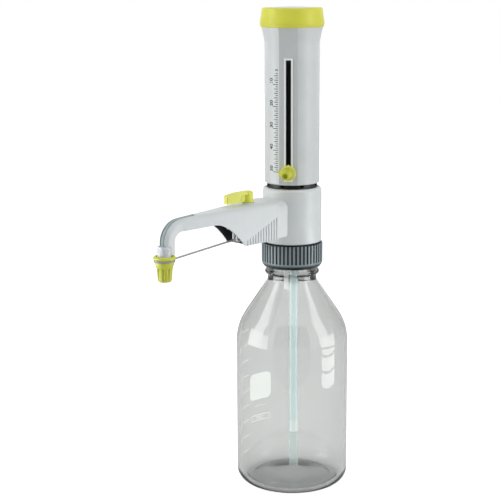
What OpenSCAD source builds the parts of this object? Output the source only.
// Bottle-top dispenser on a one-litre laboratory bottle.
// Origin: centre of the bottle's base, +Z up, discharge arm along -X.

/* [Bottle] */
// Outer diameter of the bottle's body
bottle_d = 101; // [95:0.5:108]
// Height of the bottle to its rim
bottle_h = 225; // [205:1:245]
// Wall thickness of the glass
glass_wall = 2.4; // [1.8:0.1:3]
// Radius of the heel between base and body
heel_r = 12; // [8:0.5:16]
// Radius of the shoulder where it leaves the body
shoulder_r = 47; // [30:1:55]
// Slope of the shoulder cone, from vertical
shoulder_slope = 33.7; // [30:0.5:38]
// Height of the base's centre above the rest plane
push_up = 3.5; // [1:0.5:5]
// Outer diameter of the neck under the bead
neck_d = 43.6; // [42:0.2:44.6]
// Outer diameter of the threaded finish
finish_d = 45; // [44:0.1:45.6]
// Height of neck and finish together
neck_h = 35; // [33:0.5:38]
// Diameter of the bead under the thread
bead_d = 48.8; // [47.6:0.2:49.6]
// Diameter of the bottle's mouth
mouth_d = 30; // [29:0.2:32]

/* [Screw ring] */
// Diameter of the ribbed ring
ring_d = 54.8; // [54:0.2:57]
// Height of the ribbed ring
ring_h = 21.5; // [20:0.5:25]
// Number of ribs round the ring
ring_ribs = 48; // [36:1:54]
// Depth of the grooves between the ribs
rib_depth = 0.8; // [0.4:0.1:1]
// Thickness of the gasket on the bottle's rim
gasket_t = 1.2; // [0.8:0.1:2]
// Thickness of the collar that holds the ring
collar_wall = 1.3; // [1:0.1:1.4]

/* [Valve block] */
// Diameter of the casing at its foot
casing_d = 52.8; // [51:0.2:56]
// Diameter of the casing at its top edge
casing_top_d = 52.4; // [51:0.2:53]
// Height of the casing
casing_h = 49; // [46:0.5:52]
// Wall thickness of the moulded casings
casing_wall = 2.1; // [1.6:0.1:2.3]
// Thickness of the core's flange
flange_t = 3.8; // [3:0.2:5]
// Diameter of the core's column
column_d = 28; // [26:0.5:30]
// Sideways place of the filling valve
valve_x = 2; // [0:0.5:3]
// Height of the black safety ring
safety_h = 19.6; // [18:0.2:20]

/* [Cylinder and piston] */
// Inner diameter of the glass cylinder
cylinder_bore = 25.9; // [24:0.1:26.2]
// Wall thickness of the glass cylinder
cylinder_wall = 1.65; // [1.2:0.05:1.7]
// Full stroke of the piston
stroke = 95.2; // [85:0.2:98]
// Outer diameter of the black cylinder sleeve
sleeve_d = 36.6; // [35.8:0.1:36.8]
// Diameter of the piston rod
rod_d = 8; // [6:0.5:9]

/* [Housing] */
// Outer diameter of the housing
housing_d = 48.4; // [48:0.2:50]
// Wall thickness of the housing
housing_wall = 2.1; // [1.8:0.1:2.2]
// Height of the housing to the cap
housing_h = 136.4; // [132:0.2:142]
// Diameter of the flared top edge
flare_d = 54; // [52:0.2:55]
// Height of the flare
flare_h = 15; // [12:0.5:18]
// Depth of the flat facet behind the scale slot
facet_depth = 1.4; // [1:0.1:1.6]
// Direction of the facet, from +X
facet_angle = 217; // [200:1:240]
// Width of the slot
slot_w = 4.6; // [4:0.1:4.8]
// Length of the volume scale
scale_l = 85.7; // [70:0.1:88]
// Width of the raised rim round the slot
rim_w = 1.7; // [1:0.1:2.2]

/* [Cap] */
// Largest diameter of the cap
cap_d = 56.4; // [56:0.2:60]
// Height of the cap
cap_h = 16.6; // [15:0.2:19]
// Diameter of the calibration cover
cover_d = 35; // [32:0.5:37]

/* [Pointer] */
// Diameter of the pointer disc
pointer_d = 13.4; // [12:0.2:15]
// Thickness of the pointer disc
pointer_t = 2.5; // [2:0.1:3]
// Length of the clamping knob
knob_l = 17; // [12:0.5:20]
// Diameter of the knob at its foot
knob_d = 10.8; // [9:0.2:11.6]
// Diameter of the clamp screw
screw_d = 2.4; // [2:0.1:2.5]

/* [Discharge arm] */
// Distance from the bottle's axis to the nozzle's axis
reach = 148.7; // [140:0.1:156]
// Width of the arm at its root
root_w = 31.2; // [29:0.2:33]
// Width of the arm at the bend
tip_w = 10.8; // [10:0.2:14]
// Fall of the arm's top towards the nozzle
arm_slope = 2.1; // [1.8:0.05:3.2]
// Outer radius of the bend
bend_r = 19.5; // [18.5:0.1:20.5]
// Height of the slim stretch before the bend
slim_h = 10.8; // [9.6:0.1:12]
// Wall thickness of the arm
arm_wall = 1.8; // [1.4:0.1:2.2]
// Width of the open groove over the tube
groove_w = 6; // [5.6:0.1:6.4]
// Outer diameter of the discharge tube
tube_d = 4.8; // [4.6:0.1:5.4]
// Number of grip grooves on each side
grips = 12; // [6:1:13]

/* [Valve lever] */
// Distance from the bottle's axis to the lever's axis
lever_x = 54.5; // [52:0.5:57]
// Length of the handle from the axis
lever_l = 25.8; // [20:0.2:26.6]
// Height of the lever
lever_h = 9.6; // [7:0.2:11]
// Diameter of the lever's hub
hub_d = 9.4; // [8.6:0.2:10.4]

/* [Nozzle cap] */
// Height of the nozzle cap
ncap_h = 21.6; // [18:0.2:24]
// Diameter of its collar
ncap_d = 19; // [17.4:0.2:20]
// Number of flutes on its grip
flutes = 9; // [6:1:12]
// Thickness of the strap
strap_t = 1.1; // [0.8:0.1:1.4]

/* [Tubes] */
// Outer diameter of the lower filling tube
fill_d = 8.6; // [8:0.1:9]
// Wall thickness of the filling tubes
fill_wall = 0.6; // [0.4:0.05:0.7]
// Height of the filling tube's foot above the rest plane
fill_z = 12; // [11:0.5:20]
// Diameter of the recirculation tube
recirc_d = 3.8; // [3:0.1:4.4]

/* [Hidden] */
$fn = 72;

// clearances
fit = 0.05;        // running or push fit, on the radius
play = 0.3;        // between surfaces that pass each other
eps = 0.01;        // overshoot of a cutter

// colours
white_pp = [0.87, 0.89, 0.89];
lime = [0.88, 0.87, 0.36];
grey_blue = [0.45, 0.5, 0.52];
black_pp = [0.1, 0.1, 0.11];
clear_glass = [0.8, 0.86, 0.86, 0.4];
ptfe = [0.93, 0.94, 0.94];
steel = [0.7, 0.71, 0.73];

// ---- levels up the axis ----
rim_z = bottle_h;
core_z = rim_z + gasket_t;              // underside of the core's flange
casing_z = core_z - 1;                  // foot of the casing
casing_top = casing_z + casing_h;
seat_t = 8;                             // flange that carries the cylinder
seat_z = casing_top - 24.2;             // its underside
seat_top = seat_z + seat_t;
housing_z = seat_top + safety_h + 0.4;  // lower edge of the housing at rest
housing_top = housing_z + housing_h;
cap_top = housing_top + cap_h;
ring_top = casing_z - 1.2;
ring_z = ring_top - ring_h;

casing_r = casing_d / 2;
casing_top_r = casing_top_d / 2;
root_x = -casing_r - 5.6;               // joint between casing and arm
root_bottom = casing_z + casing_h / 7;

// ---- bottle ----
body_r = bottle_d / 2;
neck_r = neck_d / 2;
finish_r = finish_d / 2;
mouth_r = mouth_d / 2;
neck_z = rim_z - neck_h;
shoulder_z = neck_z - shoulder_r * sin(shoulder_slope)
    - (body_r - shoulder_r * (1 - cos(shoulder_slope)) - neck_r) / tan(shoulder_slope);
shoulder_x = body_r - shoulder_r;
foot_w = 2.5;                           // width of the flat ring it stands on
floor_t = 4;                            // glass at the middle of the base

function arc(x, y, r, a0, a1, n = 12) =
    [for (i = [0 : n]) [x + r * cos(a0 + (a1 - a0) * i / n), y + r * sin(a0 + (a1 - a0) * i / n)]];

module bottle() {
    bead_z = neck_z + 7.4;
    bead_r = 2;
    inner_heel = heel_r - glass_wall;
    inner_shoulder = shoulder_r - glass_wall;
    inner_cone = [shoulder_x + inner_shoulder * cos(shoulder_slope),
                  shoulder_z + inner_shoulder * sin(shoulder_slope)];
    outer = concat(
        [[0, push_up], [body_r - heel_r - foot_w - 8, push_up * 0.55],
         [body_r - heel_r - foot_w, 0]],
        arc(body_r - heel_r, heel_r, heel_r, -90, 0, 10),
        arc(shoulder_x, shoulder_z, shoulder_r, 0, shoulder_slope, 10),
        [[neck_r + 1.2, neck_z - 1.8], [neck_r, neck_z + 1],
         [neck_r, bead_z - bead_r]],
        arc(bead_d / 2 - bead_r, bead_z, bead_r, -60, 60, 6),
        [[finish_r, bead_z + bead_r], [finish_r, rim_z - 3.4], [finish_r - 1.4, rim_z - 3]],
        arc(finish_r - 2.6, rim_z - 1.2, 1.2, 0, 90, 4));
    inner = concat(
        arc(mouth_r + 1, rim_z - 1, 1, 90, 180, 4),
        [[mouth_r, inner_cone[1] + (inner_cone[0] - mouth_r) / tan(shoulder_slope)]],
        arc(shoulder_x, shoulder_z, inner_shoulder, shoulder_slope, 0, 10),
        arc(body_r - heel_r, heel_r + 1, inner_heel, 0, -80, 8),
        [[0, push_up + floor_t]]);
    color(clear_glass) rotate_extrude() polygon(concat(outer, inner));
}

module tube(r_out, r_in, z0, z1) {
    translate([0, 0, z0]) difference() {
        cylinder(r = r_out, h = z1 - z0);
        translate([0, 0, -eps]) cylinder(r = r_in, h = z1 - z0 + 2 * eps);
    }
}

// ---- screw ring, gasket and swivel collar ----
bore_r = finish_r + 0.4;                // ring and collar clear the bottle's thread
collar_r = bore_r + collar_wall;
foot_r = collar_r + 1;                  // flange that the ring's lip hooks over
foot_h = 2.4;
lip_h = 2;
ring_r = ring_d / 2;
module neck_gasket() color(ptfe) tube(finish_r - 1.6, mouth_r + 1.4, rim_z, core_z);

module thread_ring() {
    lip_z = ring_top - lip_h;
    pocket_z = lip_z - foot_h - 2 * play;
    chamfer_h = 4.2;
    groove_r = 1;
    color(grey_blue) difference() {
        rotate_extrude() polygon([
            [bore_r, ring_z + 0.6], [bore_r + 0.6, ring_z], [ring_r - 2.2, ring_z],
            [ring_r - 0.6, ring_z + chamfer_h / 2], [ring_r, ring_z + chamfer_h],
            [ring_r, ring_top - 0.5], [ring_r - 0.5, ring_top],
            [collar_r + play, ring_top], [collar_r + play, lip_z],
            [foot_r + play, lip_z], [foot_r + play, pocket_z], [bore_r, pocket_z]]);
        for (i = [0 : ring_ribs - 1])
            rotate([0, 0, i * 360 / ring_ribs])
                translate([ring_r + groove_r - rib_depth, 0, ring_z + chamfer_h + 0.8])
                    cylinder(r = groove_r, h = ring_h, $fn = 20);
    }
}

module swivel_collar() {
    foot_z = ring_top - lip_h - play - foot_h;
    color(black_pp) {
        rotate_extrude() polygon([
            [bore_r, foot_z], [foot_r, foot_z], [foot_r, foot_z + foot_h],
            [collar_r, foot_z + foot_h], [collar_r, core_z], [bore_r, core_z]]);
    }
}

// ---- valve core ----
column_r = column_d / 2;
spigot_z = core_z - 10;                 // spigot that centres the core in the mouth
valve_r = 6.5;                          // filling valve body
valve_top = core_z + 9.8;
ball_r = 2.6;
boss_r = 6;
boss_x = boss_r + 0.5 - casing_r - 1.6; // axis of the discharge valve
boss_z = root_bottom + casing_wall + 0.6;
web_hw = 4.4;                           // half width of the web that carries the boss
chamber_r = 3;
chamber_z = core_z + 15.8;              // seat of the discharge ball
passage_z = chamber_z - 2;              // passage between the two valves
seat_bore_r = 1.7;
outlet_z = seat_z + 1;                  // axis of the channel into the arm
nose_r = 5;
nose_x = root_x - 1.5;
plug_h = 3.4;
nipple_z = core_z + 12;                 // vent nipple at the rear
nipple_r = 3.4;
vent_x = valve_x + valve_r + 2.2;
cyl_r = cylinder_bore / 2;
glass_r = cyl_r + cylinder_wall;
sleeve_r = sleeve_d / 2;
glass_z = seat_top - 3;                 // lower end of the glass cylinder
seal_t = 1;
recirc_x = -7.2;                        // axis of the recirculation tube

module valve_core() {
    color(ptfe) difference() {
        union() {
            translate([0, 0, core_z]) cylinder(r = casing_r - casing_wall - 2 * fit, h = flange_t);
            translate([0, 0, spigot_z]) cylinder(r = mouth_r - 0.6, h = core_z - spigot_z + eps);
            translate([0, 0, core_z]) cylinder(r = column_r, h = seat_z - core_z + eps);
            translate([0, 0, seat_z]) cylinder(r = safety_r - 0.4, h = seat_t);
            translate([boss_x, 0, boss_z]) cylinder(r = boss_r, h = seat_top - boss_z - 0.4);
            translate([boss_x, -web_hw, boss_z]) cube([-boss_x, 2 * web_hw, seat_z - boss_z + 1]);
            translate([nose_x, 0, outlet_z]) rotate([0, 90, 0]) cylinder(r = nose_r, h = -nose_x + boss_x);
            translate([0, 0, nipple_z]) rotate([0, 90, 0]) cylinder(r = nipple_r, h = casing_r - 1.4);
        }
        // seat of the filling valve and the passage above it
        translate([valve_x, 0, spigot_z - eps]) cylinder(r = valve_r + fit, h = valve_top - spigot_z);
        translate([valve_x, 0, valve_top - 1]) cylinder(r = 2.6, h = seat_top);
        // passage to the discharge valve, its seat, its chamber and its outlet
        translate([boss_x + 1, 0, passage_z]) rotate([0, 90, 0])
            cylinder(r = 1.3, h = valve_x - boss_x - 1.5);
        translate([boss_x, 0, passage_z - 1.6]) rotate([0, 0, 45]) cylinder(r = seat_bore_r, h = 5);
        translate([boss_x, 0, chamber_z]) cylinder(r = chamber_r, h = seat_top);
        translate([nose_x - 1, 0, outlet_z]) rotate([0, 90, 0]) cylinder(r = 1.9, h = -nose_x + boss_x + 1);
        // recess for the glass cylinder, round a centre plug
        difference() {
            translate([0, 0, glass_z - seal_t]) cylinder(r = glass_r + 0.15, h = seat_top);
            translate([0, 0, glass_z - seal_t - 1]) cylinder(r = cyl_r - 0.2, h = seal_t + 2.6);
        }
        // recirculation port and vent passage
        translate([recirc_x, 0, spigot_z - eps]) cylinder(r = recirc_d / 2 + fit, h = 12);
        translate([vent_x - 0.6, 0, nipple_z]) rotate([0, 90, 0]) cylinder(r = 1.5, h = casing_r);
        translate([vent_x, 0, spigot_z - eps]) rotate([0, 0, 90]) cylinder(r = 1.2, h = nipple_z - spigot_z);
    }
}

// ---- two casings ----
safety_r = casing_top_r - casing_wall - 1.8;
mouth_clear = safety_r + 0.4;
root_hw = root_w / 2;
leg_out = 3;                            // from the nozzle's axis to the arm's outer face
bend_z = root_bottom + 10.4;            // centre of the arm's outer bend
bend_x = bend_r - reach - leg_out;
root_top = bend_z + bend_r * cos(arm_slope)
    + tan(arm_slope) * (root_x - bend_x + bend_r * sin(arm_slope));
root_corner = 7;
foot_corner = 2;
seam_x = 1.5;
seam_bulge = 3;

function root_outline(in) = let (foot = foot_corner - min(in, foot_corner - 0.2)) concat(
    arc(root_top - root_corner, root_hw - root_corner, root_corner - in, 0, 90, 8),
    arc(root_bottom + foot_corner, root_hw - foot_corner, foot, 90, 180, 4),
    arc(root_bottom + foot_corner, -root_hw + foot_corner, foot, 180, 270, 4),
    arc(root_top - root_corner, -root_hw + root_corner, root_corner - in, 270, 360, 8));

module toward_arm(x0, l) translate([x0, 0, 0]) rotate([0, -90, 0]) linear_extrude(l) children();

module casing() {
    lip = 2.6;
    difference() {
        union() {
            rotate_extrude() polygon(concat(
                [[casing_r - casing_wall, casing_z], [casing_r - 0.6, casing_z],
                 [casing_r, casing_z + 0.8]],
                arc(casing_top_r - lip, casing_top - lip, lip, 0, 90, 6),
                [[mouth_clear, casing_top], [mouth_clear, casing_top - 2.2],
                 [casing_top_r - casing_wall, casing_top - 3.6]]));
            difference() {
                toward_arm(-casing_r + 8, -root_x - casing_r + 8) polygon(root_outline(0));
                translate([0, 0, casing_z - 1]) cylinder(r = casing_r - casing_wall / 2, h = casing_h);
            }
        }
        toward_arm(-casing_r + 12, 30) polygon(root_outline(casing_wall));
    }
}

// side view of the space in front of the seam
module front_space(gap) rotate([90, 0, 0]) linear_extrude(4 * casing_r, center = true) {
    mid = (root_top + root_bottom) / 2 - 1;
    s = seam_x - gap;
    polygon([[-3 * casing_r, casing_z - 5], [s, casing_z - 5], [s, mid - 12], [s - seam_bulge, mid - 6],
             [s - seam_bulge, mid + 6], [s, mid + 12], [s, casing_top + 5],
             [-3 * casing_r, casing_top + 5]]);
}

module casing_front() color(white_pp) intersection() {
    casing();
    front_space(0);
}

module casing_rear() color(white_pp) difference() {
    casing();
    front_space(-0.05);
    translate([0, 0, nipple_z]) rotate([0, 90, 0]) cylinder(r = nipple_r + 1.3, h = 2 * casing_r);
}

module vent_cap() color(white_pp) translate([0, 0, nipple_z]) rotate([0, 90, 0]) difference() {
    union() {
        translate([0, 0, column_r + 3]) cylinder(r = nipple_r + 1, h = casing_r - column_r);
        translate([0, 0, casing_r + 0.2]) cylinder(r = 6, h = 2);
        translate([0, 0, casing_r + 2.2]) cylinder(r1 = 6, r2 = 5.2, h = 0.9);
    }
    translate([0, 0, column_r]) cylinder(r = nipple_r + fit, h = casing_r - column_r);
}

// ---- safety ring, sleeve, glass cylinder ----
safety_wall = 1.2;
groove_depth = 2.2;                     // key groove that the pointer's lug runs in
lug_w = slot_w - 0.4;
lug_h = 8;
pointer_rise = 11;                      // pointer above the housing's edge at rest
pointer_z = housing_z + pointer_rise;
groove_top = pointer_z + lug_h / 2 + stroke + play;
sleeve_top = groove_top + 1.6;

module safety_ring() color(black_pp) difference() {
    tube(safety_r, safety_r - safety_wall, seat_top, seat_top + safety_h);
    for (a = [22.5 : 45 : 359])
        rotate([0, 0, a]) translate([sleeve_r, -2, seat_top + safety_h - 2]) cube([casing_r, 4, 3]);
}

module cylinder_sleeve() color(black_pp) difference() {
    tube(sleeve_r, glass_r + play, seat_top, sleeve_top);
    rotate([0, 0, facet_angle])
        translate([sleeve_r - groove_depth, -lug_w / 2 - play, seat_top - 1])
            cube([groove_depth + 2, lug_w + 2 * play, groove_top - seat_top + 1]);
}

module glass_cylinder() color(clear_glass) tube(glass_r, cyl_r, glass_z, glass_z + stroke + 24);

module cylinder_seal() color(ptfe) tube(glass_r, cyl_r, glass_z - seal_t, glass_z);

// ---- filling valve and tubes ----
seat_hole_r = 1.9;
fill_seat_z = core_z - 4.2;
fill_r = fill_d / 2;
inner_r = fill_r - fill_wall - 0.2;     // upper tube slides in the lower one
nozzle_nipple_r = inner_r - fill_wall - fit;
inner_top = spigot_z - 4;

module filling_valve_body() color(ptfe) translate([valve_x, 0, 0]) difference() {
    union() {
        translate([0, 0, spigot_z - 4]) cylinder(r = valve_r, h = valve_top - spigot_z + 4 - 1);
        translate([0, 0, inner_top - 9]) cylinder(r = nozzle_nipple_r, h = 9 + eps);
    }
    translate([0, 0, inner_top - 10]) cylinder(r = seat_hole_r, h = fill_seat_z - inner_top + 11);
    translate([0, 0, fill_seat_z]) cylinder(r = ball_r + 0.8, h = valve_top);
}

module filling_ball() color(ptfe)
    translate([valve_x, 0, fill_seat_z + sqrt(ball_r * ball_r - seat_hole_r * seat_hole_r) + 0.05])
        sphere(r = ball_r);

module ball_retainer() color(ptfe) translate([valve_x, 0, fill_seat_z + 2 * ball_r + 1.4]) difference() {
    cylinder(r = ball_r + 0.8 - 0.02, h = 2);
    for (a = [0 : 120 : 359])
        rotate([0, 0, a]) translate([1.8, 0, -1]) cylinder(r = 0.9, h = 4);
}

sleeve_end_z = fill_z + 33;             // lower end of the upper tube
module filling_tube_inner() color(ptfe) translate([valve_x, 0, 0]) difference() {
    tube(inner_r, inner_r - fill_wall, sleeve_end_z, inner_top);
    translate([0, 0, sleeve_end_z - 1]) tube(inner_r + 1, inner_r - 0.35, 0, 12);
}

module tube_seal_sleeve() color(ptfe) translate([valve_x, 0, 0])
    tube(fill_r - fill_wall - fit, inner_r - 0.35, sleeve_end_z, sleeve_end_z + 11);

module filling_tube_outer() color(clear_glass) translate([valve_x, 0, 0]) difference() {
    tube(fill_r, fill_r - fill_wall, fill_z, neck_z + 12);
    translate([-fill_d, -fill_d, fill_z - fill_d])
        rotate([0, 20, 0]) cube([3 * fill_d, 2 * fill_d, fill_d]);
}

module recirculation_tube() color(ptfe) translate([recirc_x, 0, 0]) difference() {
    tube(recirc_d / 2, recirc_d / 2 - 0.6, neck_z - 15, spigot_z + 11);
    translate([-6, -6, neck_z - 24]) rotate([0, -35, 0]) cube([14, 12, 10]);
}

// ---- discharge valve ----
dball_r = 2.2;
spring_z = chamber_z + sqrt(dball_r * dball_r - 1.7 * 1.7) + 2.1;
spring_top = seat_top - 0.4 - plug_h;
wire_r = 0.25;
coil_r = 1.9;

module discharge_ball() color(ptfe)
    translate([boss_x, 0, chamber_z + sqrt(dball_r * dball_r - 1.7 * 1.7) + 0.05]) sphere(r = dball_r);

module discharge_valve_plug() color(ptfe) translate([boss_x, 0, spring_top])
    cylinder(r = chamber_r - 0.02, h = plug_h);

// one ring of the wire's section, at turn angle a
function wire_ring(a, z, n) = [for (k = [0 : n - 1]) let (u = 360 * k / n)
    [(coil_r + wire_r * cos(u)) * cos(a), (coil_r + wire_r * cos(u)) * sin(a), z + wire_r * sin(u)]];

// skin over equal rings, with flat ends
module skin(rings) {
    n = len(rings[0]);
    m = len(rings);
    polyhedron(
        points = [for (r = rings) for (p = r) p],
        faces = concat(
            [[for (k = [n - 1 : -1 : 0]) k]],
            [for (i = [0 : m - 2]) for (k = [0 : n - 1])
                [i * n + k, i * n + (k + 1) % n, (i + 1) * n + (k + 1) % n, (i + 1) * n + k]],
            [[for (k = [0 : n - 1]) (m - 1) * n + k]]));
}

module discharge_spring() {
    turns = 5;
    steps = 12;
    total = turns * steps;
    rise = (spring_top - spring_z - 2 * wire_r - 0.02) / total;
    color(steel) translate([boss_x, 0, 0]) skin([for (i = [total : -1 : 0])
        wire_ring(i * 360 / steps, spring_z + wire_r + rise * i, 6)]);
}

// ---- recirculation valve in the arm ----
lever_ax = -lever_x;
block_w = root_w * 0.45;
block_z = outlet_z - 5.6;
block_top = root_top - 3.4;
block_x = root_x - 0.6;
block_l = lever_x + block_x + hub_d + 2.2;
tube_z = bend_z + bend_r - leg_out;
spindle_r = 4.2;

module recirculation_valve_body() color(ptfe) difference() {
    translate([block_x - block_l, -block_w / 2, block_z]) cube([block_l, block_w, block_top - block_z]);
    translate([nose_x - 0.2, 0, outlet_z]) rotate([0, 90, 0]) cylinder(r = nose_r + fit, h = 10);
    translate([lever_ax, 0, outlet_z]) rotate([0, 90, 0]) cylinder(r = 1.9, h = block_l);
    translate([lever_ax, 0, block_z + 2]) cylinder(r = spindle_r + fit, h = block_l);
    translate([block_x - block_l - 1, 0, tube_z]) rotate([0, 90, 0]) cylinder(r = tube_d / 2 + fit, h = 5.6);
    translate([block_x - block_l - 1, 0, tube_z]) rotate([0, 90, 0])
        cylinder(r = 1.8, h = lever_ax - block_x + block_l + 1);
}

lever_z = root_top + 0.6;               // underside of the lever's disc
module valve_spindle() color(ptfe) translate([lever_ax, 0, 0]) difference() {
    union() {
        translate([0, 0, block_z + 2 + play]) cylinder(r = spindle_r, h = block_top - block_z - 2);
        translate([0, 0, block_top]) cylinder(r = 3, h = lever_z + 4 - block_top);
    }
    translate([-spindle_r - 1, -1.2, outlet_z - 1.9]) cube([spindle_r + 2, 2.4, tube_z - outlet_z + 3.8]);
}

module valve_lever() {
    hub_r = hub_d / 2;
    disc_r = hub_r + 1;
    disc_h = 1.5;
    top_z = lever_z + lever_h;
    end_x = lever_ax - lever_l;
    end_hw = 2.5;
    neck_x = lever_ax - hub_d;
    full_x = lever_ax - hub_d - 1.8;
    color(lime) difference() {
        union() {
            translate([lever_ax, 0, 0]) rotate_extrude() polygon(concat(
                [[0, lever_z], [disc_r, lever_z], [disc_r, lever_z + disc_h], [hub_r, lever_z + disc_h]],
                arc(hub_r - 2, top_z - 2, 2, 0, 90, 4), [[0, top_z]]));
            intersection() {
                lever_side();
                translate([0, 0, lever_z]) linear_extrude(lever_h) polygon([
                    [lever_ax, -1.8], [neck_x + 1, -1.8], [full_x, -3.5], [end_x + 0.5, -end_hw],
                    [end_x, 0.5 - end_hw], [end_x, end_hw - 0.5], [end_x + 0.5, end_hw],
                    [full_x, 3.5], [neck_x + 1, 1.8], [lever_ax, 1.8]]);
            }
            intersection() {
                lever_side();
                translate([full_x - 1, -3.4, top_z - 2.7]) cube([hub_d + 2.8, 6.8, 4]);
            }
        }
        translate([lever_ax, 0, lever_z - 1]) cylinder(r = 3.02, h = 5.02);
    }
}

// side view of the lever's handle, highest near the hub
module lever_side() {
    top_z = lever_z + lever_h;
    end_x = lever_ax - lever_l;
    side_view(3 * hub_d) polygon([
        [lever_ax, lever_z + 1.5], [lever_ax - hub_d / 2 - 1, lever_z + 0.8], [end_x, lever_z + 0.8],
        [end_x, top_z - 2.2], [end_x + 0.8, top_z - 1.6], [lever_ax - 0.6 * lever_l, top_z - 0.3],
        [lever_ax - hub_d / 2, top_z - 0.1], [lever_ax, top_z - 0.1]]);
}

// ---- discharge arm ----
tip_x = -reach;
leg_in = 7;                             // from the nozzle's axis to the arm's inner face
leg_end = bend_z - 9.5;                 // lower end of the arm's leg
pocket_z = leg_end + 7.2;               // the nozzle's sleeve ends here
arm_hw = tip_w / 2;
arm_taper = atan((root_hw - arm_hw) / (root_x - bend_x));
edge_r = 4.6;                           // rounding of the arm's upper edges
notch_x = root_x - 36.5;                // lower corner of the deep part
notch_end = notch_x - 32.5;             // where the hollow runs out
groove_x = notch_end - 14;              // where the tube's groove opens
tube_r = tube_d / 2;
tube_bend = bend_r - leg_out;
notch_z = root_bottom - 1.6;
bend_start = bend_x - bend_r * sin(arm_slope);

function bezier(a, b, c, n) = [for (i = [0 : n]) let (t = i / n)
    a * (1 - t) * (1 - t) + b * 2 * t * (1 - t) + c * t * t];
function half_width(x) = root_hw - (root_x - x) * tan(arm_taper);
function top_at(x) = root_top - (root_x - x) * tan(arm_slope);
function slim_at(x) = top_at(x) - slim_h;

module side_view(h) rotate([90, 0, 0]) linear_extrude(h, center = true) children();

// straight stretch, drawn in by a wall thickness
module arm_body(in) {
    knee_x = notch_x - 16.8;
    intersection() {
        side_view(2 * root_w) polygon(in > 0
            ? [[root_x + 1, root_top + 4], [root_x + 1, root_bottom + in], [notch_x + 6, notch_z + in],
               [notch_x + 1.6, notch_z - 5], [notch_end + 1, notch_z - 5],
               [notch_end + 1, slim_at(notch_end) + 1.4], [groove_x + 2, slim_at(groove_x) + 1.4],
               [groove_x + 2, root_top + 4]]
            : concat([[root_x, root_top + 4], [root_x, root_bottom], [notch_x + 1.4, notch_z]],
               bezier([notch_x, notch_z + 0.8], [knee_x, slim_at(knee_x)],
                      [notch_end, slim_at(notch_end)], 12),
               [[bend_start, slim_at(bend_start)], [bend_start, root_top + 4]]));
        intersection_for (side = [-1, 1])
            translate([root_x, 0, root_top])
                rotate([0, 0, side * arm_taper]) rotate([0, -arm_slope, 0])
                    translate([3, 0, 0]) toward_arm(0, root_x - bend_x + 20)
                        polygon(side_section(side, in));
    }
}

// one side of the arm's section: far beyond the middle, with its upper edge rounded
function side_section(side, in) = [for (p = concat(
    [[-60, -60], [-60, root_hw - in]],
    arc(-edge_r, root_hw - edge_r, edge_r - in, 90, 0, 8),
    [[-in, -60]])) [p[0], side * p[1]]];

// section of the bend and the leg: distance from the bend's centre, half width
function bend_section() = concat([[4, -arm_hw], [bend_r - edge_r, -arm_hw]],
    arc(bend_r - edge_r, -arm_hw + edge_r, edge_r, -90, 0, 8),
    arc(bend_r - edge_r, arm_hw - edge_r, edge_r, 0, 90, 8),
    [[4, arm_hw]]);

module arm_bend() {
    inner_x = tip_x + leg_in;
    // the inner bend touches the leg just above the seam and runs into the slim part's underside
    mid_z = bend_z + 0.5;
    inner_r = (slim_at(inner_x) - mid_z) * cos(arm_slope) / (1 - sin(arm_slope)) + 0.15;
    mid_x = inner_x + inner_r;
    touch_x = mid_x - inner_r * sin(arm_slope);
    difference() {
        union() {
            translate([bend_x, 0, bend_z]) rotate([90, 0, 0]) rotate([0, 0, 90 + arm_slope])
                rotate_extrude(angle = 90 - arm_slope) polygon(bend_section());
            translate([bend_x, 0, leg_end]) linear_extrude(bend_z - leg_end)
                polygon([for (p = bend_section()) [-p[0], p[1]]]);
        }
        translate([mid_x, 0, mid_z]) rotate([90, 0, 0])
            cylinder(r = inner_r, h = 2 * tip_w, center = true);
        side_view(2 * tip_w) polygon([
            [inner_x, leg_end - 1], [inner_x, mid_z], [mid_x, mid_z], [touch_x, slim_at(touch_x)],
            [mid_x + 20, slim_at(mid_x + 20)], [mid_x + 20, leg_end - 1]]);
    }
}

module tube_channel() {
    half = groove_w / 2;
    deep = tube_r + 0.15;
    translate([bend_x, 0, bend_z]) rotate([90, 0, 0]) rotate([0, 0, 90])
        rotate_extrude(angle = 90) polygon([[tube_bend - deep, -half], [40, -half],
                                            [40, half], [tube_bend - deep, half]]);
    translate([bend_x, -half, tube_z - deep]) cube([groove_x - bend_x, 2 * half, 40 - tube_bend]);
    translate([bend_x - 40, -half, leg_end - 1])
        cube([40 - tube_bend + deep, 2 * half, bend_z - leg_end + 1]);
    translate([groove_x - 1, 0, tube_z]) rotate([0, 90, 0]) cylinder(r = deep, h = 60);
    translate([tip_x, 0, leg_end - 1]) cylinder(r = nozzle_r + fit, h = pocket_z - leg_end + 1);
}

module grip_grooves() {
    pitch = 2.87;
    for (side = [-1, 1], i = [0 : grips - 1]) {
        x = root_x - 2.4 - i * pitch;
        h = 18.6 - i * 1.5;
        translate([x, side * (half_width(x) + 0.4), root_bottom + 1])
            rotate([0, 0, side * arm_taper]) cube([0.95, 2, 2 * h], center = true);
    }
}

module arm_housing() color(white_pp) difference() {
    union() {
        arm_body(0);
        arm_bend();
        translate([lever_ax, 0, root_top - 3])
            cylinder(r = hub_d / 2 + 1.6, h = lever_z - play - root_top + 3);
    }
    arm_body(arm_wall);
    tube_channel();
    translate([lever_ax, 0, root_top - 12]) cylinder(r = spindle_r + play, h = 20);
    grip_grooves();
}

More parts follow.
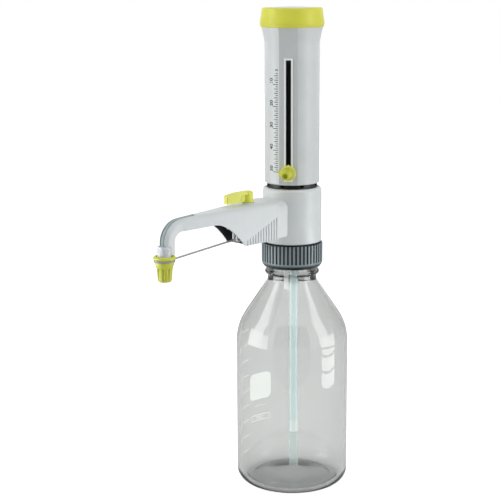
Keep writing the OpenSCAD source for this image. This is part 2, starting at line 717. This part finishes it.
module discharge_tube() {
    start_x = block_x - block_l + 4.4;
    color(ptfe) difference() {
        union() {
            translate([bend_x, 0, tube_z]) rotate([0, 90, 0]) cylinder(r = tube_r, h = start_x - bend_x);
            translate([bend_x, 0, bend_z]) rotate([90, 0, 0]) rotate([0, 0, 90])
                rotate_extrude(angle = 90) translate([tube_bend, 0]) circle(r = tube_r);
            translate([tip_x, 0, nozzle_z]) cylinder(r = tube_r, h = bend_z - nozzle_z);
        }
        translate([tip_x, 0, nozzle_z - 1]) cylinder(r = tube_r - 0.9, h = 12);
    }
}

// ---- nozzle and its cap ----
nozzle_r = 6;                           // sleeve round the tube's end
ncap_top = leg_end - 0.9;
nozzle_z = ncap_top - 10.7;             // end of the discharge tube, inside the cap
collar_h = 2.9;
hook_z = ncap_top - collar_h;           // neck that the strap's ring holds
hook_h = 1.9;
ncap_r = ncap_d / 2;
hook_r = ncap_r - 2.1;

module nozzle_sleeve() color(ptfe) translate([tip_x, 0, 0]) {
    tube(nozzle_r, nozzle_r - 1, ncap_top - 1.2, pocket_z - eps);
    tube(nozzle_r - 1 + eps, tube_r + fit, pocket_z - 4.4, pocket_z - 2.4);
}

module nozzle_cap() {
    z0 = ncap_top - ncap_h;
    neck_z = hook_z - hook_h;
    color(lime) translate([tip_x, 0, 0]) difference() {
        rotate_extrude() polygon(concat(
            [[0, z0]],
            [for (p = [[0.53, 0], [0.6, 0.035], [0.65, 0.17], [0.68, 0.41], [0.705, 0.52], [0.76, 0.59],
                       [0.83, 0.67]]) [p[0] * ncap_r, z0 + p[1] * ncap_h]],
            [[ncap_r - 1.2, neck_z - 0.5], [ncap_r - 1.2, neck_z], [hook_r, neck_z],
             [hook_r, hook_z], [ncap_r - 0.6, hook_z], [ncap_r, hook_z + 0.6],
             [ncap_r, ncap_top - 0.9], [ncap_r - 0.9, ncap_top], [7.5, ncap_top],
             [7.2, hook_z + 0.4], [tube_r + 1.5, hook_z - 0.6], [tube_r + 1.5, nozzle_z - play],
             [0, nozzle_z - play]]));
        for (i = [0 : flutes - 1])
            rotate([0, 0, (i + 0.5) * 360 / flutes]) translate([0.66 * ncap_r + 0.7, 0, z0 - 1])
                cylinder(r = 1.4, h = 0.54 * ncap_h + 1, $fn = 24);
    }
}

pivot_x = bend_x / 2 - 1.2;             // strap's pivot under the arm
pivot_z = root_bottom + 3.1;
tab_x = tip_x + ncap_r + 2;             // where strap and ring meet
tab_z = hook_z - hook_h / 2;
pin_r = 1;
lug_gap = 1.5;

module cap_ring() color(ptfe) difference() {
    union() {
        translate([tip_x, 0, hook_z - hook_h + play / 2]) cylinder(r = ncap_r - 0.5, h = hook_h - play);
        translate([tip_x + ncap_r - 1, -1, tab_z - strap_t / 2])
            cube([tab_x - tip_x - ncap_r + 1 - strap_t / 2 - 0.25, 2, strap_t]);
    }
    translate([tip_x, 0, hook_z - 10]) cylinder(r = hook_r + 0.1, h = 20);
}

module cap_strap() {
    dx = pivot_x - tab_x;
    dz = pivot_z - tab_z;
    color(ptfe) difference() {
        union() {
            translate([pivot_x, 0, pivot_z]) rotate([90, 0, 0])
                cylinder(r = pin_r + 1.2, h = 2 * (lug_gap - play), center = true);
            translate([tab_x, 0, tab_z]) rotate([0, -atan2(dz, dx), 0])
                translate([0, -0.9, -strap_t / 2]) cube([norm([dx, dz]) - pin_r - 0.6, 1.8, strap_t]);
            translate([tab_x, 0, tab_z]) rotate([90, 0, 0])
                cylinder(r = strap_t / 2, h = 1.8, center = true);
        }
        translate([pivot_x, 0, pivot_z]) rotate([90, 0, 0]) cylinder(r = pin_r + fit, h = 10, center = true);
    }
}

module strap_pin() color(steel) translate([pivot_x, 0, pivot_z]) rotate([90, 0, 0])
    cylinder(r = pin_r, h = 2 * lug_gap + 3.4, center = true);

module strap_bracket() {
    lug_t = 1.5;
    post_x = pivot_x - 7.4;
    post_l = 8.2;
    plate_z = pivot_z + 9;
    roof = top_at(post_x) - arm_wall - fit;
    color(ptfe) difference() {
        union() {
            for (side = [-1, 1]) {
                translate([0, side * (lug_gap + lug_t / 2), 0]) {
                    translate([pivot_x, 0, pivot_z]) rotate([90, 0, 0])
                        cylinder(r = 2.6, h = lug_t, center = true);
                    translate([pivot_x - 2.6, -lug_t / 2, pivot_z]) cube([3.6, lug_t, 10]);
                }
                translate([post_x, side * 4 - 1, plate_z]) cube([post_l, 2, roof - plate_z]);
            }
            translate([post_x, -5, plate_z]) cube([post_l, 10, 2]);
        }
        translate([pivot_x, 0, pivot_z]) rotate([90, 0, 0])
            cylinder(r = pin_r + 0.02, h = 20, center = true);
    }
}

// ---- housing, rack and cap ----
housing_r = housing_d / 2;
flare_r = flare_d / 2;
flare_z = housing_top - flare_h;
facet_r = housing_r - facet_depth;
slot_z = housing_z + 5;
slot_top = pointer_z + scale_l + 12;
rim_h = 0.5;
rack_t = 0.8;
rack_x = facet_r - housing_wall - rack_t;

function housing_line(in) = bezier([housing_r - in, flare_z], [housing_r - in, flare_z + 0.3 * flare_h],
                                   [flare_r - in, housing_top], 8);

module housing_shell() color(white_pp) {
    difference() {
        union() {
            housing_form(0, housing_z);
            rotate([0, 0, facet_angle]) translate([facet_r - 1, -slot_w / 2 - rim_w, slot_z - rim_w])
                cube([1 + rim_h, slot_w + 2 * rim_w, slot_top - slot_z + 2 * rim_w]);
        }
        difference() {
            housing_form(housing_wall, housing_z - 1);
            for (a = [90, 180, 270])
                rotate([0, 0, facet_angle + a]) translate([sleeve_r + play, -0.8, housing_z + 6])
                    cube([10, 1.6, housing_h - 30]);
        }
        rotate([0, 0, facet_angle]) translate([sleeve_r, -slot_w / 2, slot_z])
            cube([10, slot_w, slot_top - slot_z]);
    }
}

// round housing with its flat facet, drawn in by a wall thickness
module housing_form(in, z0) {
    extra = in > 0 ? 1 : 0;
    edge = in > 0 ? 0 : 0.8;
    difference() {
        rotate_extrude() polygon(concat(
            [[0, z0], [housing_r - in - edge, z0], [housing_r - in, z0 + edge]], housing_line(in),
            [[flare_r - in, housing_top + extra], [0, housing_top + extra]]));
        rotate([0, 0, facet_angle]) rotate([90, 0, 0]) linear_extrude(4 * housing_r, center = true)
            polygon(concat([[60, z0 - 2], [facet_r - in, z0 - 2]],
                [for (p = housing_line(in)) [p[0] - facet_depth, p[1]]],
                [[flare_r - in - facet_depth, housing_top + 3], [60, housing_top + 3]]));
    }
}

module volume_rack() {
    pitch = scale_l / 45;
    tooth = 0.5;
    half = 5.8;
    slot = slot_w / 2 + 0.3;
    teeth = floor((slot_top - slot_z - 1) / pitch);
    edge = [for (i = [0 : teeth - 1])
        each [[slot, slot_z + i * pitch], [slot + tooth, slot_z + (i + 0.5) * pitch]]];
    last = [[slot, slot_z + teeth * pitch]];
    right = concat(edge, last);
    color(black_pp) rotate([0, 0, facet_angle]) translate([rack_x, 0, 0])
        rotate([90, 0, 90]) linear_extrude(rack_t) difference() {
            translate([-half, slot_z - 3]) square([2 * half, slot_top - slot_z + 6]);
            polygon(concat(right, [for (i = [len(right) - 1 : -1 : 0]) [-right[i][0], right[i][1]]]));
        }
}

cap_r = cap_d / 2;
cap_plug_r = housing_r - housing_wall - 0.4;
recess_z = cap_top - 7;
cover_r = cover_d / 2;
module top_cap() {
    lip_x = cap_r - 1.6;
    color(lime) rotate_extrude() polygon(concat(
        [[rod_d / 2 + fit, recess_z - 9], [rod_d / 2 + 4, recess_z - 9], [rod_d / 2 + 4, recess_z - 2],
         [cap_plug_r - 2, recess_z - 2], [cap_plug_r - 2, housing_top - 7],
         [cap_plug_r, housing_top - 7], [cap_plug_r, housing_top],
         [cap_r - 1, housing_top], [cap_r - 0.5, housing_top + 0.6], [cap_r - 0.1, housing_top + 2.2],
         [cap_r, housing_top + 3.8], [cap_r - 0.3, housing_top + 6.2], [cap_r - 0.8, housing_top + 9],
         [cap_r - 1.3, cap_top - 4]],
        arc(lip_x - 1.6, cap_top - 1.7, 1.6, 5, 80, 5),
        [[cover_r + 0.2, cap_top], [cover_r + 0.2, recess_z], [rod_d / 2 + fit, recess_z]]));
}

module calibration_nut() color(ptfe) difference() {
    translate([0, 0, recess_z]) cylinder(r = 8, h = 4);
    translate([0, 0, recess_z - 1]) cylinder(r = rod_d / 2 + 0.02, h = 6);
    for (a = [0 : 90 : 359])
        rotate([0, 0, a]) translate([6, -1, recess_z + 2.4]) cube([4, 2, 3]);
}

module calibration_cover() color(white_pp) rotate_extrude() polygon(concat(
    [[0, cap_top - 1], [cover_r - 2, cap_top - 1], [cover_r - 2, recess_z + 0.1],
     [cover_r - 0.1, recess_z + 0.1], [cover_r - 0.1, cap_top - 0.1]],
    [for (i = [6 : -1 : 0]) [(cover_r - 0.6) * i / 6, cap_top + 0.2 + 0.6 * (1 - i * i / 36)]]));

// ---- piston ----
piston_z = seat_top - 0.8;
piston_h = 9;
seal_r = cyl_r - 0.03;
module piston_rod() color(steel) translate([0, 0, piston_z + 4])
    cylinder(r = rod_d / 2, h = recess_z - piston_z);

module piston_head() color(ptfe) difference() {
    translate([0, 0, piston_z]) cylinder(r = cyl_r - 0.5, h = piston_h);
    translate([0, 0, piston_z + 4]) cylinder(r = rod_d / 2 + 0.02, h = piston_h);
    translate([0, 0, piston_z + 2]) tube(cyl_r + 1, cyl_r - 1.8, 0, 4);
}

module piston_seal() color(ptfe) tube(seal_r, cyl_r - 1.8 + 0.01, piston_z + 2, piston_z + 6);

// ---- pointer and its clamp ----
plate_x = facet_r + rim_h + 0.25;
knob_x = plate_x + pointer_t + 0.2;
screw_r = screw_d / 2;
module on_facet() rotate([0, 0, facet_angle]) translate([0, 0, pointer_z]) rotate([0, 90, 0]) children();

module pointer_plate() color(lime) on_facet() translate([0, 0, plate_x]) difference() {
    union() {
        cylinder(r1 = pointer_d / 2 - 0.3, r2 = pointer_d / 2, h = 0.3);
        translate([0, 0, 0.3]) cylinder(r = pointer_d / 2, h = pointer_t - 0.7);
        translate([0, 0, pointer_t - 0.4]) cylinder(r1 = pointer_d / 2, r2 = pointer_d / 2 - 0.4, h = 0.4);
        linear_extrude(pointer_t - 0.8) polygon([[-3.6, -4.8], [-0.5, -pointer_d / 2 - 2.5],
                                                 [0.5, -pointer_d / 2 - 2.5], [3.6, -4.8]]);
        linear_extrude(pointer_t - 0.8) polygon([[-pointer_d / 2 + 0.6, -2], [-pointer_d / 2 - 0.8, 0],
                                                 [-pointer_d / 2 + 0.6, 2]]);
    }
    translate([0, 0, -1]) cylinder(r = screw_r + fit, h = pointer_t + 2);
}

module pointer_slider() color(lime) on_facet() difference() {
    union() {
        translate([-lug_h / 2, -lug_w / 2, sleeve_r - groove_depth + play])
            cube([lug_h, lug_w, plate_x - sleeve_r + groove_depth - play]);
        translate([-lug_h / 2, -5.2, sleeve_r + play]) cube([lug_h, 10.4, rack_x - sleeve_r - 2 * play]);
    }
    cylinder(r = screw_r + fit, h = 2 * plate_x);
}

module volume_knob() color(lime) on_facet() translate([0, 0, knob_x]) rotate_extrude() polygon([
    [screw_r + 0.01, 0], [knob_d / 2 - 0.5, 0], [knob_d / 2, 0.5], [knob_d / 2 - 0.4, 2],
    [knob_d / 2 - 1.4, 5], [3.3, knob_l - 1], [2.9, knob_l], [2.1, knob_l], [1.9, knob_l - 1.8],
    [screw_r + 0.01, knob_l - 1.8]]);

module clamp_screw() color(lime) on_facet()
    translate([0, 0, sleeve_r - groove_depth + play + 0.4])
        cylinder(r = screw_r, h = knob_x + knob_l - 2.2 - sleeve_r + groove_depth - play - 0.4);

bottle();
neck_gasket();
thread_ring();
swivel_collar();
valve_core();
casing_front();
casing_rear();
vent_cap();
safety_ring();
cylinder_sleeve();
glass_cylinder();
cylinder_seal();
filling_valve_body();
filling_ball();
ball_retainer();
filling_tube_inner();
tube_seal_sleeve();
filling_tube_outer();
recirculation_tube();
discharge_ball();
discharge_spring();
discharge_valve_plug();
recirculation_valve_body();
valve_spindle();
valve_lever();
arm_housing();
discharge_tube();
nozzle_sleeve();
strap_bracket();
strap_pin();
cap_strap();
cap_ring();
nozzle_cap();
housing_shell();
volume_rack();
top_cap();
calibration_cover();
calibration_nut();
piston_rod();
piston_head();
piston_seal();
pointer_plate();
pointer_slider();
volume_knob();
clamp_screw();
